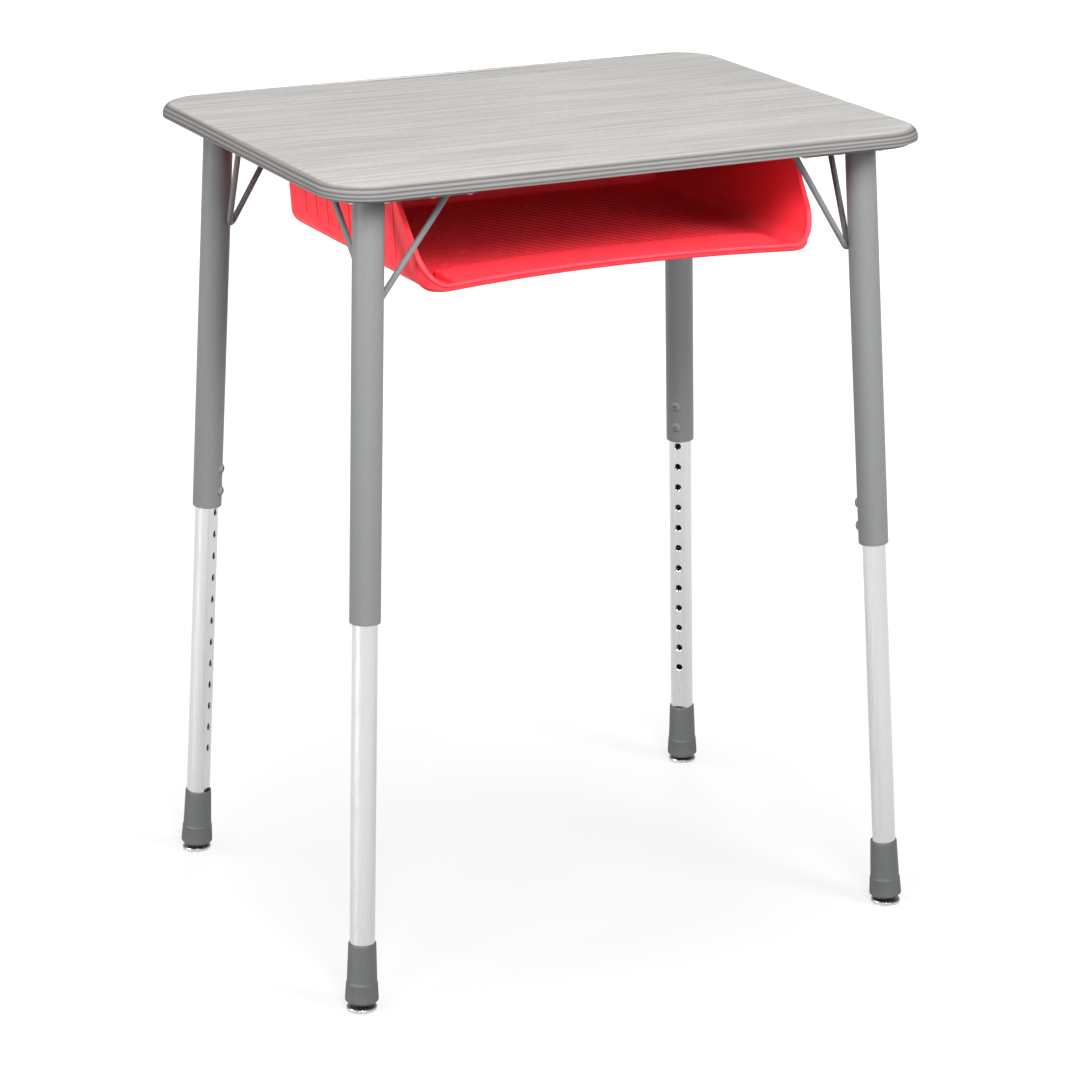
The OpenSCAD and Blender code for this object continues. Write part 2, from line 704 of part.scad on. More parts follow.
desk_top();
book_box();
box_screws();
corner(FRONT_LEFT) outer_tube();  // leg_tube_front_left
corner(FRONT_RIGHT) outer_tube();  // leg_tube_front_right
corner(REAR_LEFT) outer_tube();  // leg_tube_rear_left
corner(REAR_RIGHT) outer_tube();  // leg_tube_rear_right
corner(FRONT_LEFT) brace();  // brace_front_left
corner(FRONT_RIGHT) brace();  // brace_front_right
corner(REAR_LEFT) brace();  // brace_rear_left
corner(REAR_RIGHT) brace();  // brace_rear_right
corner(FRONT_LEFT) mounting_plate();  // mounting_plate_front_left
corner(FRONT_RIGHT) mounting_plate();  // mounting_plate_front_right
corner(REAR_LEFT) mounting_plate();  // mounting_plate_rear_left
corner(REAR_RIGHT) mounting_plate();  // mounting_plate_rear_right
corner(FRONT_LEFT) plate_screws();  // plate_screws_front_left
corner(FRONT_RIGHT) plate_screws();  // plate_screws_front_right
corner(REAR_LEFT) plate_screws();  // plate_screws_rear_left
corner(REAR_RIGHT) plate_screws();  // plate_screws_rear_right
corner(FRONT_LEFT) adjust_screws();  // adjusting_screws_front_left
corner(FRONT_RIGHT) adjust_screws();  // adjusting_screws_front_right
corner(REAR_LEFT) adjust_screws();  // adjusting_screws_rear_left
corner(REAR_RIGHT) adjust_screws();  // adjusting_screws_rear_right
corner(FRONT_LEFT) insert_tube();  // leg_insert_front_left
corner(FRONT_RIGHT) insert_tube();  // leg_insert_front_right
corner(REAR_LEFT) insert_tube();  // leg_insert_rear_left
corner(REAR_RIGHT) insert_tube();  // leg_insert_rear_right
corner(FRONT_LEFT) boot();  // boot_front_left
corner(FRONT_RIGHT) boot();  // boot_front_right
corner(REAR_LEFT) boot();  // boot_rear_left
corner(REAR_RIGHT) boot();  // boot_rear_right
corner(FRONT_LEFT) glide_stud();  // glide_stud_front_left
corner(FRONT_RIGHT) glide_stud();  // glide_stud_front_right
corner(REAR_LEFT) glide_stud();  // glide_stud_rear_left
corner(REAR_RIGHT) glide_stud();  // glide_stud_rear_right
corner(FRONT_LEFT) glide_cup();  // glide_cup_front_left
corner(FRONT_RIGHT) glide_cup();  // glide_cup_front_right
corner(REAR_LEFT) glide_cup();  // glide_cup_rear_left
corner(REAR_RIGHT) glide_cup();  // glide_cup_rear_right
corner(FRONT_LEFT) glide_pad();  // glide_pad_front_left
corner(FRONT_RIGHT) glide_pad();  // glide_pad_front_right
corner(REAR_LEFT) glide_pad();  // glide_pad_rear_left
corner(REAR_RIGHT) glide_pad();  // glide_pad_rear_right
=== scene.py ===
"""Looks of the height-adjustable study desk. Sizes are millimetres until a mesh is made."""
from collections import namedtuple
import json
import math

import bmesh
import bpy
import numpy as np
from mathutils import Matrix, Vector


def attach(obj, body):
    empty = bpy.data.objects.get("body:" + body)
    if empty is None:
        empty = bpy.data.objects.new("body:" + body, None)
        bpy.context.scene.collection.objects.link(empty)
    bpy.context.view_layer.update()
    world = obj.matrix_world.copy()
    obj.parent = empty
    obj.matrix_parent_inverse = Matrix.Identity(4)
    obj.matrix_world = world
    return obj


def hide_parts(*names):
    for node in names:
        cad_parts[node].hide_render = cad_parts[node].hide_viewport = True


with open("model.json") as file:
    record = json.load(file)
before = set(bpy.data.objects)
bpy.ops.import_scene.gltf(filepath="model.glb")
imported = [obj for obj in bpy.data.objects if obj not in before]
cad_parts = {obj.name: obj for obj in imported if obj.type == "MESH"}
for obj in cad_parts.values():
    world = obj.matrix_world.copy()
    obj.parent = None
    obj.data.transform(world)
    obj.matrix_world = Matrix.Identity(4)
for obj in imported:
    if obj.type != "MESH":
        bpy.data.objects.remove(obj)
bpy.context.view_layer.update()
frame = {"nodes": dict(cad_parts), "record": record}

MM = 0.001
CORNERS = {"front_left": (-1, -1), "front_right": (1, -1), "rear_left": (-1, 1), "rear_right": (1, 1)}

# Sizes shared with the solids
TOP_W = 666.0
TOP_D = 514.0
TOP_T = 14.0
TOP_R = 54.0
EDGE_R = 11.0
UNDER_Z = 846.0
TOP_Z = UNDER_Z + TOP_T
LEG_TILT = math.radians(3.55)
LEG_INSET = 58.0
OUTER_R = 15.875
BORE_R = 13.775
COLLAR = 411.9
PLATE_Z = 842.8
LEAN = math.tan(LEG_TILT) * math.cos(math.radians(45))
LEG_TOP = (TOP_W / 2 - LEG_INSET, TOP_D / 2 - LEG_INSET)
FOOT = (LEG_TOP[0] + UNDER_Z * LEAN, LEG_TOP[1] + UNDER_Z * LEAN)


# Materials

# Noise lies mostly between these two values
NOISE_LOW = 0.3
NOISE_HIGH = 0.7


class Nodes:
    """A small helper that adds nodes to one material and links them."""

    def __init__(self, name):
        self.material = bpy.data.materials.new(name)
        self.material.use_nodes = True
        self.tree = self.material.node_tree
        self.shader = self.tree.nodes["Principled BSDF"]

    def add(self, kind, **values):
        node = self.tree.nodes.new(kind)
        for key, value in values.items():
            setattr(node, key, value)
        return node

    def link(self, out, into):
        self.tree.links.new(out, into)

    def colour(self, out):
        self.link(out, self.shader.inputs["Base Color"])

    def rough(self, out):
        self.link(out, self.shader.inputs["Roughness"])

    def position(self, scale):
        coords = self.add("ShaderNodeTexCoord")
        mapping = self.add("ShaderNodeMapping")
        mapping.inputs["Scale"].default_value = scale
        self.link(coords.outputs["Object"], mapping.inputs["Vector"])
        return mapping.outputs["Vector"]

    def noise(self, vector, detail, roughness=0.5):
        node = self.add("ShaderNodeTexNoise")
        node.inputs["Scale"].default_value = 1.0
        node.inputs["Detail"].default_value = detail
        node.inputs["Roughness"].default_value = roughness
        self.link(vector, node.inputs["Vector"])
        return node.outputs["Fac"]

    def even_noise(self, size):
        return self.noise(self.position((size, size, size)), 2.0)

    def ramp(self, value, *stops):
        node = self.add("ShaderNodeValToRGB")
        ramp = node.color_ramp
        while len(ramp.elements) < len(stops):
            ramp.elements.new(0.5)
        for element, (place, colour) in zip(ramp.elements, stops):
            element.position = place
            element.color = (*colour, 1)
        self.link(value, node.inputs["Fac"])
        return node.outputs["Color"]

    def math(self, operation, a, b=None):
        node = self.add("ShaderNodeMath", operation=operation)
        for socket, value in zip(node.inputs, (a, b)):
            if value is None:
                continue
            if isinstance(value, (int, float)):
                socket.default_value = value
            else:
                self.link(value, socket)
        return node.outputs[0]

    def spread(self, value, from_low, from_high, to_low, to_high):
        node = self.add("ShaderNodeMapRange")
        ends = (("From Min", from_low), ("From Max", from_high), ("To Min", to_low), ("To Max", to_high))
        for key, number in ends:
            node.inputs[key].default_value = number
        self.link(value, node.inputs["Value"])
        return node.outputs["Result"]

    def vary(self, noise, low, high):
        return self.spread(noise, NOISE_LOW, NOISE_HIGH, low, high)

    def mix(self, factor, a, b, blend="MIX"):
        node = self.add("ShaderNodeMix", data_type="RGBA", blend_type=blend)
        colours = [s for s in node.inputs if s.type == "RGBA"]
        for socket, value in ((node.inputs[0], factor), (colours[0], a), (colours[1], b)):
            if isinstance(value, float):
                socket.default_value = value
            else:
                self.link(value, socket)
        return [s for s in node.outputs if s.type == "RGBA"][0]

    def bump(self, height, strength, distance):
        node = self.add("ShaderNodeBump")
        node.inputs["Strength"].default_value = strength
        node.inputs["Distance"].default_value = distance
        self.link(height, node.inputs["Height"])
        self.link(node.outputs["Normal"], self.shader.inputs["Normal"])

    def set(self, **values):
        for key, value in values.items():
            self.shader.inputs[key.replace("_", " ")].default_value = value


# Wood grain, with lengths in metres: sideways sway of the streaks, pitch and waver of the edge's layers, the
# heights between which the edge's look takes over from the face's, and how much rougher the edge is
GRAIN_SWAY = 0.02
LAYER_TURNS = 2 * math.pi / 0.0040
LAYER_WAVER = 7.0
EDGE_STARTS = 0.8598
EDGE_FULL = 0.8586
EDGE_DULLER = 0.20


def streaks(m, x, y, per_x, per_y, detail, roughness):
    """Noise drawn out along X."""
    join = m.add("ShaderNodeCombineXYZ")
    m.link(m.math("MULTIPLY", x, per_x), join.inputs[0])
    m.link(m.math("MULTIPLY", y, per_y), join.inputs[1])
    return m.noise(join.outputs[0], detail, roughness)


def wood_grain():
    """Pale streaks along the face, and thin level layers round the moulded edge."""
    m = Nodes("wood_grain")
    coords = m.add("ShaderNodeTexCoord")
    split = m.add("ShaderNodeSeparateXYZ")
    m.link(coords.outputs["Object"], split.inputs[0])
    x, y, z = (split.outputs[axis] for axis in "XYZ")
    sway = m.math("SUBTRACT", m.noise(m.position((2.2, 4.5, 1)), 2.0), 0.5)
    y = m.math("ADD", y, m.math("MULTIPLY", sway, GRAIN_SWAY))
    bands = streaks(m, x, y, 1.6, 26, 3.0, 0.55)
    fine = streaks(m, x, y, 5.0, 130, 2.0, 0.6)
    fibre = m.noise(m.position((170, 420, 170)), 1.0)
    base = m.ramp(bands, (0.30, (0.247, 0.244, 0.238)), (0.50, (0.275, 0.269, 0.262)),
                  (0.72, (0.299, 0.290, 0.282)))
    streak = m.ramp(fine, (0.32, (0.83, 0.83, 0.83)), (0.50, (1, 0.995, 0.99)), (0.68, (1.11, 1.10, 1.10)))
    speck = m.ramp(fibre, (NOISE_LOW, (0.93, 0.93, 0.93)), (NOISE_HIGH, (1.06, 1.06, 1.06)))
    face = m.mix(1.0, m.mix(1.0, base, streak, "MULTIPLY"), speck, "MULTIPLY")
    waver = m.math("MULTIPLY", m.noise(m.position((3.0, 3.0, 90)), 2.0), LAYER_WAVER)
    layers = m.math("SINE", m.math("ADD", m.math("MULTIPLY", z, LAYER_TURNS), waver))
    edge = m.ramp(m.spread(layers, -1.0, 1.0, 0.0, 1.0), (0.10, (0.070, 0.068, 0.066)),
                  (0.45, (0.108, 0.105, 0.102)), (0.90, (0.140, 0.136, 0.132)))
    at_edge = m.spread(z, EDGE_STARTS, EDGE_FULL, 0.0, 1.0)
    m.colour(m.mix(at_edge, face, edge))
    m.rough(m.math("ADD", m.vary(bands, 0.50, 0.58), m.math("MULTIPLY", at_edge, EDGE_DULLER)))
    m.bump(fine, 0.12, 0.0004)
    m.set(Specular_IOR_Level=0.10)
    return m.material


def red_plastic():
    m = Nodes("red_plastic")
    grain = m.even_noise(900)
    cloud = m.even_noise(9)
    m.colour(m.ramp(cloud, (NOISE_LOW, (0.85, 0.040, 0.056)), (NOISE_HIGH, (0.88, 0.043, 0.059))))
    m.rough(m.vary(grain, 0.40, 0.50))
    m.bump(grain, 0.10, 0.0003)
    m.set(Specular_IOR_Level=0.07)
    return m.material


def silver_paint():
    m = Nodes("silver_paint")
    grain = m.even_noise(1500)
    m.colour(m.ramp(grain, (NOISE_LOW, (0.108, 0.110, 0.110)), (NOISE_HIGH, (0.138, 0.140, 0.140))))
    m.rough(m.vary(grain, 0.42, 0.50))
    m.bump(grain, 0.08, 0.0002)
    m.set(Specular_IOR_Level=0.25)
    return m.material


def bright_metal(name, tone, rough, scratch):
    """Plated metal with fine lines drawn along Z."""
    m = Nodes(name)
    drawn = m.noise(m.position((700, 700, 12)), 3.0)
    m.colour(m.ramp(drawn, (NOISE_LOW, tuple(0.94 * c for c in tone)), (NOISE_HIGH, tone)))
    m.rough(m.vary(drawn, rough * 0.85, rough * 1.2))
    m.bump(drawn, scratch, 0.0001)
    m.set(Metallic=1.0)
    return m.material


def boot_plastic():
    m = Nodes("boot_plastic")
    grain = m.even_noise(1200)
    m.colour(m.ramp(grain, (NOISE_LOW, (0.042, 0.044, 0.044)), (NOISE_HIGH, (0.056, 0.058, 0.058))))
    m.rough(m.vary(grain, 0.50, 0.62))
    m.bump(grain, 0.15, 0.0002)
    return m.material


def pale_nylon():
    m = Nodes("pale_nylon")
    grain = m.even_noise(600)
    m.colour(m.ramp(grain, (NOISE_LOW, (0.66, 0.66, 0.64)), (NOISE_HIGH, (0.76, 0.76, 0.74))))
    m.set(Roughness=0.35)
    return m.material


MATERIAL = {
    "top": wood_grain(),
    "book_box": red_plastic(),
    "paint": silver_paint(),
    "nickel": bright_metal("bright_nickel", (0.60, 0.60, 0.598), 0.28, 0.05),
    "zinc": bright_metal("zinc_plate", (0.72, 0.72, 0.73), 0.32, 0.15),
    "boot": boot_plastic(),
    "pad": pale_nylon(),
}
for part in frame["record"]["subparts"]:
    node = frame["nodes"][part["node"]]
    node.data.materials.clear()
    node.data.materials.append(MATERIAL[part["material_slot"]])


# Mesh helpers

MANY_CORNERS = 8
MERGE_M = 2e-6


def raw_mesh(name, verts, faces):
    mesh = bpy.data.meshes.new(name)
    mesh.from_pydata([Vector(v) * MM for v in verts], [], faces)
    return mesh


def keep_flat(mesh):
    """Edges round a flat face with many corners are sharp, so that its shading stays even."""
    edges = {edge.key: edge for edge in mesh.edges}
    for polygon in mesh.polygons:
        if len(polygon.vertices) > MANY_CORNERS:
            for key in polygon.edge_keys:
                edges[key].use_edge_sharp = True


def place_mesh(name, mesh, body, slot, replaced, sharp):
    """Adds a finished piece to its body. Edges bent by more than sharp degrees stay crisp."""
    bm = bmesh.new()
    bm.from_mesh(mesh)
    bmesh.ops.remove_doubles(bm, verts=bm.verts, dist=MERGE_M)
    bmesh.ops.recalc_face_normals(bm, faces=bm.faces)
    bm.to_mesh(mesh)
    bm.free()
    mesh.shade_smooth()
    mesh.set_sharp_from_angle(angle=math.radians(sharp))
    keep_flat(mesh)
    obj = bpy.data.objects.new(name, mesh)
    bpy.context.collection.objects.link(obj)
    mesh.materials.append(MATERIAL[slot])
    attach(obj, body)
    if replaced:
        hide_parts(*replaced)


def bridge(rings, caps=(True, True)):
    """Quads between closed rings of equal length, with optional end faces."""
    n = len(rings[0])
    verts = [p for ring in rings for p in ring]
    faces = []
    for i in range(len(rings) - 1):
        for j in range(n):
            k = (j + 1) % n
            faces.append((i * n + j, i * n + k, (i + 1) * n + k, (i + 1) * n + j))
    if caps[0]:
        faces.append(tuple(range(n - 1, -1, -1)))
    if caps[1]:
        last = (len(rings) - 1) * n
        faces.append(tuple(range(last, last + n)))
    return verts, faces


def arc(cx, cy, r, start, end, steps):
    """Points on a circle from one angle to another, in degrees."""
    out = []
    for i in range(steps + 1):
        a = math.radians(start + (end - start) * i / steps)
        out.append((cx + r * math.cos(a), cy + r * math.sin(a)))
    return out


def circle(cx, cy, r, steps):
    return arc(cx, cy, r, 0, 360, steps)[:-1]


def merge(parts):
    verts, faces = [], []
    for v, f in parts:
        base = len(verts)
        verts += list(v)
        faces += [tuple(base + i for i in face) for face in f]
    return verts, faces


def cut(mesh, tool):
    """The first mesh with the second taken away."""
    made = []
    for data in (mesh, tool):
        bm = bmesh.new()
        bm.from_mesh(data)
        bmesh.ops.recalc_face_normals(bm, faces=bm.faces)
        bm.to_mesh(data)
        bm.free()
        obj = bpy.data.objects.new(data.name, data)
        bpy.context.collection.objects.link(obj)
        made.append(obj)
    boolean = made[0].modifiers.new("cut", "BOOLEAN")
    boolean.operation = "DIFFERENCE"
    boolean.solver = "EXACT"
    boolean.object = made[1]
    seen = made[0].evaluated_get(bpy.context.evaluated_depsgraph_get())
    done = bpy.data.meshes.new_from_object(seen)
    for obj in made:
        bpy.data.objects.remove(obj)
    return done


def cut_above(mesh, z):
    """Takes away what lies above a level and leaves the end open there."""
    bm = bmesh.new()
    bm.from_mesh(mesh)
    bmesh.ops.remove_doubles(bm, verts=bm.verts, dist=MERGE_M)
    everything = bm.verts[:] + bm.edges[:] + bm.faces[:]
    bmesh.ops.bisect_plane(bm, geom=everything, plane_co=(0, 0, z * MM), plane_no=(0, 0, 1), clear_outer=True)
    bm.to_mesh(mesh)
    bm.free()


def leg_frame(sx, sy):
    """Z runs up the leg's axis from the floor and +X points inward."""
    turn = math.radians(round(math.degrees(math.atan2(-sy, -sx)) / 45) * 45)
    foot = Matrix.Translation((sx * FOOT[0], sy * FOOT[1], 0))
    return foot @ Matrix.Rotation(turn, 4, "Z") @ Matrix.Rotation(LEG_TILT, 4, "Y")


# Top

CORNER_STEPS = 14
EDGE_STEPS = 12

# Lower edge as [inset, rise], and the inset of the flat face from the end of the rounded edge
UNDER_BEVEL = ((6, 0), (0.6, 0), (0.15, 0.2), (0, 0.7))
FACE_MARGIN = 2.5

# Pencil groove, cut by a round bar
GROOVE_HALF = 158.0
GROOVE_OVERRUN = 1.06
GROOVE_STEPS = 40
GROOVE_DEEP = 2.5
GROOVE_DRIFT = 5.0
GROOVE_Y = TOP_D / 2 - 21
CUTTER_R = 8.45
CUTTER_SIDES = 36


def rounded_ring(inset, z):
    ring = []
    for cx, cy, start in ((1, 1, 0), (-1, 1, 90), (-1, -1, 180), (1, -1, 270)):
        x = cx * (TOP_W / 2 - TOP_R)
        y = cy * (TOP_D / 2 - TOP_R)
        ring += [(px, py, z) for px, py in arc(x, y, TOP_R - inset, start, start + 90, CORNER_STEPS)]
    return ring


def groove_cutter():
    """A round bar for the pencil groove, which bows up and drifts back towards its ends."""
    rings = []
    for i in range(-GROOVE_STEPS, GROOVE_STEPS + 1):
        u = GROOVE_OVERRUN * i / GROOVE_STEPS
        y = GROOVE_Y + GROOVE_DRIFT * u * u
        z = TOP_Z - GROOVE_DEEP + CUTTER_R + GROOVE_DEEP * u * u
        rings.append([(GROOVE_HALF * u, py, pz) for py, pz in circle(y, z, CUTTER_R, CUTTER_SIDES)])
    return bridge(rings)


def desk_top():
    rings = [rounded_ring(inset, UNDER_Z + up) for inset, up in UNDER_BEVEL]
    rings.append(rounded_ring(0, TOP_Z - EDGE_R))
    for i in range(1, EDGE_STEPS + 1):
        a = math.radians(90 * i / EDGE_STEPS)
        rings.append(rounded_ring(EDGE_R * (1 - math.cos(a)), TOP_Z - EDGE_R * (1 - math.sin(a))))
    rings.append(rounded_ring(EDGE_R + FACE_MARGIN, TOP_Z))
    panel = cut(raw_mesh("slab", *bridge(rings)), raw_mesh("bar", *groove_cutter()))
    place_mesh("desk_top_panel", panel, "desk_frame", "top", ("desk_top",), 30)


desk_top()


# Book box. Its outline is given at the underside of the top, and its walls lean in on the way down.

BOX_X = TOP_W / 2 - 106
BOX_BACK = TOP_D / 2 - 98
BOX_FRONT = TOP_D / 2 - 39.5
BOX_Z = UNDER_Z - 110
FLOOR_Z = BOX_Z + 3
LIP_Z = BOX_Z + 9.4
WALL = 3.0
DRAFT = math.tan(math.radians(4))
FRONT_R = 31.5
BACK_R = 28.0
FRONT_CX = BOX_X - FRONT_R
FRONT_CY = -BOX_FRONT + FRONT_R
BACK_CX = BOX_X - BACK_R
BACK_CY = BOX_BACK - BACK_R

# Outer radius between wall and bottom: NOSE_R under the lip, and FLOOR_R where the rim is FLOOR_RAMP higher
FLOOR_R = 15.0
NOSE_R = 5.6
INNER_R_LEAST = 4.0
FLOOR_RAMP = 50.0

# The front bows back in its middle by BOW
BOW = 23.0
BOW_ANGLE = 2 * math.atan(BOW / FRONT_CX)
BOW_R = FRONT_CX / math.sin(BOW_ANGLE) - FRONT_R
BOW_CY = FRONT_CY - (FRONT_R + BOW_R) * math.cos(BOW_ANGLE)

# Rim, which widens into the flange behind the scoop of the side walls
SCOOP_Y = -(TOP_D / 2 - 115.4)
SCOOP_POWER = 0.81
RIM_OUT = 2.3
RIM_H = 3.2
RIM_SLOPE_MOST = 1.7
FLANGE_W = 14.0
FLANGE_RAMP = 16.0

# Roundings of the rim as [distance, drop or rise]: at its inner face, its outer face and underneath
RIM_INNER = ((0, 0.7), (0.2, 0.35), (0.6, 0.1), (1.1, 0))
RIM_OUTER = ((1.5, 0), (0.85, 0.17), (0.38, 0.5), (0.1, 0.95), (0, 1.5))
RIM_UNDER = ((0, 0.9), (0.12, 0.4), (0.4, 0.1), (0.8, 0))

# Raised ledge behind the front lip
LEDGE_W = 65.0
LEDGE_HALF = BOX_X - 41
LEDGE_R = 12.0
LEDGE_Z = LIP_Z - 0.8
LEDGE_BACK = -BOX_FRONT + BOW + LEDGE_W
LEDGE_SAG = 18.0
LEDGE_SOFT = 2.4
LEDGE_FOOT = ((0.8, 0), (0.25, 0.25), (0, 0.8))

# Upright grooves of the side walls, with the half widths of their floor and mouth. No other station stands
# within FLUTE_ROOM of a groove's middle.
FLUTE_COUNT = 9
FLUTE_PITCH = 28.8
FLUTE_Y = [SCOOP_Y + 1.6 + FLUTE_PITCH * i for i in range(FLUTE_COUNT)]
FLUTE_LOW = BOX_Z + 21
FLUTE_HIGH = UNDER_Z - 22
FLUTE_DEEP = 2.0
FLUTE_FLOOR = 1.0
FLUTE_MOUTH = 1.5
FLUTE_ROOM = 2.4

# Drain holes of the ledge
DRAIN_X = 118.0
DRAIN_Y = -169.5
DRAIN_R = 2.2
DRAIN_SIDES = 24

# Steps of the outline and of the rounded corners
BOW_STEPS = (24, 40)
FRONT_STEPS = 40
BACK_STEPS = 16
ROUND_STEPS = 9

# A place on the outline, its outward direction, the rim's height there, 1 in the floor of an upright groove,
# and how far the ledge reaches in from it
Station = namedtuple("Station", "x y out_x out_y rim deep ledge")


def smooth(u):
    u = min(max(u, 0), 1)
    return u * u * (3 - 2 * u)


def rim_height(y):
    u = (SCOOP_Y - y) / (BOX_FRONT + SCOOP_Y)
    return UNDER_Z if u <= 0 else UNDER_Z - (UNDER_Z - LIP_Z) * min(u, 1) ** SCOOP_POWER


def ledge_rear(x):
    return LEDGE_BACK - LEDGE_SAG * (x / LEDGE_HALF) ** 2


LEDGE_CX = LEDGE_HALF - LEDGE_R
LEDGE_CY = ledge_rear(LEDGE_CX) - LEDGE_R


def ledge_inset(a):
    """Distance from the front wall to the ledge's rear edge, in direction a from the bow's centre."""
    sin_a, cos_a = math.sin(a), math.cos(a)
    rear = (ledge_rear((BOW_R + LEDGE_W) * sin_a) - BOW_CY) / cos_a
    if rear * sin_a <= LEDGE_CX:
        return rear - BOW_R
    end = LEDGE_HALF / sin_a
    if BOW_CY + end * cos_a <= LEDGE_CY:
        return end - BOW_R
    along = LEDGE_CX * sin_a + (LEDGE_CY - BOW_CY) * cos_a
    off = math.hypot(LEDGE_CX, LEDGE_CY - BOW_CY)
    return along + math.sqrt(max(LEDGE_R ** 2 - off ** 2 + along ** 2, 0)) - BOW_R


def side_places():
    """Y of the stations along a side wall, close together at the scoop, the flange's ramp and the grooves."""
    places = set(np.linspace(FRONT_CY, SCOOP_Y, 16)[1:].round(3))
    places |= {SCOOP_Y + FLANGE_RAMP * k / 6 for k in range(1, 7)}
    places |= set(np.linspace(SCOOP_Y + FLANGE_RAMP, BACK_CY, 14)[1:].round(3))
    places = {y for y in places if all(abs(y - f) > FLUTE_ROOM for f in FLUTE_Y)}
    for f in FLUTE_Y:
        places |= {f - FLUTE_MOUTH, f - FLUTE_FLOOR, f + FLUTE_FLOOR, f + FLUTE_MOUTH}
    return sorted(places)


def half_outline():
    """Stations of the right half, from the middle of the front to the middle of the back."""
    out = []
    turn = math.asin(LEDGE_CX / (BOW_R + LEDGE_W))
    near, far = BOW_STEPS
    angles = [turn * i / near for i in range(near)]
    angles += [turn + (BOW_ANGLE - turn) * i / far for i in range(far)]
    for a in angles:
        sin_a, cos_a = math.sin(a), math.cos(a)
        out.append(Station(BOW_R * sin_a, BOW_CY + BOW_R * cos_a, -sin_a, -cos_a, LIP_Z, 0, ledge_inset(a)))
    start = -90 - math.degrees(BOW_ANGLE)
    for i in range(FRONT_STEPS + 1):
        degrees = start - start * i / FRONT_STEPS
        a = math.radians(degrees)
        sin_a, cos_a = math.sin(a), math.cos(a)
        y = FRONT_CY + FRONT_R * sin_a
        rim = LIP_Z if degrees < -90 else rim_height(y)
        out.append(Station(FRONT_CX + FRONT_R * cos_a, y, cos_a, sin_a, rim, 0, 0))
    for y in side_places():
        deep = 1.0 if any(abs(y - f) < (FLUTE_FLOOR + FLUTE_MOUTH) / 2 for f in FLUTE_Y) else 0.0
        out.append(Station(BOX_X, y, 1, 0, rim_height(y), deep, 0))
    for i in range(1, BACK_STEPS + 1):
        a = math.radians(90 * i / BACK_STEPS)
        sin_a, cos_a = math.sin(a), math.cos(a)
        out.append(Station(BACK_CX + BACK_R * cos_a, BACK_CY + BACK_R * sin_a, cos_a, sin_a, UNDER_Z, 0, 0))
    out.append(Station(0, BOX_BACK, 0, 1, UNDER_Z, 0, 0))
    return out


def corner_in(h, r):
    return 0 if h >= r else r - math.sqrt(r * r - (r - h) ** 2)


def wall_in(z):
    return (UNDER_Z - z) * DRAFT


def outer_in(z, r):
    return wall_in(z) + corner_in(z - BOX_Z, r)


def inner_in(z, r):
    return wall_in(z) + WALL + corner_in(z - FLOOR_Z, r)


def ledge_side(ledge, base):
    """Profile of the ledge, as [inset, height] from its rear foot to the lip."""
    soft = min(LEDGE_SOFT, (ledge - base) / 3)
    points = [(ledge + back, FLOOR_Z + up) for back, up in LEDGE_FOOT]
    steps = ROUND_STEPS - 3
    for i in range(steps + 1):
        a = math.radians(90 * i / steps)
        points.append((ledge - soft * (1 - math.cos(a)), LEDGE_Z - soft * (1 - math.sin(a))))
    return points + [(ledge - 1.4 * soft, LEDGE_Z), (base, LEDGE_Z)]


def inner_side(top, inner_r):
    """Profile of the inner wall, as [inset, height] from the floor to the rim."""
    rise = min(inner_r, 0.8 * (top - 1.2 - FLOOR_Z))
    points = []
    for i in range(ROUND_STEPS + 1):
        z = FLOOR_Z + rise * (1 - math.cos(math.radians(90 * i / ROUND_STEPS)))
        points.append((inner_in(z, inner_r), z))
    mid = (FLOOR_Z + rise + top - 1.2) / 2
    return points + [(inner_in(mid, inner_r), mid), (inner_in(top - 1.3, inner_r), top - 1.3)]


def rim_side(station, low, inner_r):
    """Profile of the rim or flange, as [inset, height] from its inner face to its outer lower edge."""
    top = station.rim
    out = RIM_OUT
    if top >= UNDER_Z - 0.01:
        out += (FLANGE_W - RIM_OUT) * smooth((station.y - SCOOP_Y) / FLANGE_RAMP)
    face = inner_in(top - 0.8, inner_r)
    outer = wall_in(top) - out
    points = [(face - back, top - drop) for back, drop in RIM_INNER]
    points += [(outer + back, top - drop) for back, drop in RIM_OUTER]
    points += [(outer + back, low + rise) for back, rise in RIM_UNDER]
    return points


def outer_side(station, low, r):
    """Profile of the outer wall, as [inset, height] from under the rim to the bottom."""
    points = [(outer_in(low, r) - 0.4, low), (outer_in(low, r), low - 0.3)]
    rise = min(r, 0.9 * (low - BOX_Z))
    for z, share in ((FLUTE_HIGH + 1, 0), (FLUTE_HIGH, 1), (FLUTE_LOW + 1, 1), (FLUTE_LOW, 0)):
        z = min(max(z, BOX_Z + rise), low - 0.4)
        points.append((outer_in(z, r) + share * station.deep * FLUTE_DEEP, z))
    for i in range(ROUND_STEPS, -1, -1):
        z = BOX_Z + rise * (1 - math.cos(math.radians(90 * i / ROUND_STEPS)))
        points.append((outer_in(z, r), z))
    return points + [(outer_in(BOX_Z, r) + 4, BOX_Z)]


def box_profile(station, slope):
    """Points round the wall's section at one station, from the floor over the rim to the bottom."""
    top = station.rim
    low = top - RIM_H * min(slope, RIM_SLOPE_MOST)
    r = NOSE_R + (FLOOR_R - NOSE_R) * smooth((top - LIP_Z) / FLOOR_RAMP)
    inner_r = max(r - WALL, INNER_R_LEAST)
    base = inner_in(LEDGE_Z, inner_r)
    points = ledge_side(station.ledge, base) if station.ledge > base + 1 else inner_side(top, inner_r)
    points += rim_side(station, low, inner_r) + outer_side(station, low, r)
    return [(station.x - station.out_x * inset, station.y - station.out_y * inset, z) for inset, z in points]


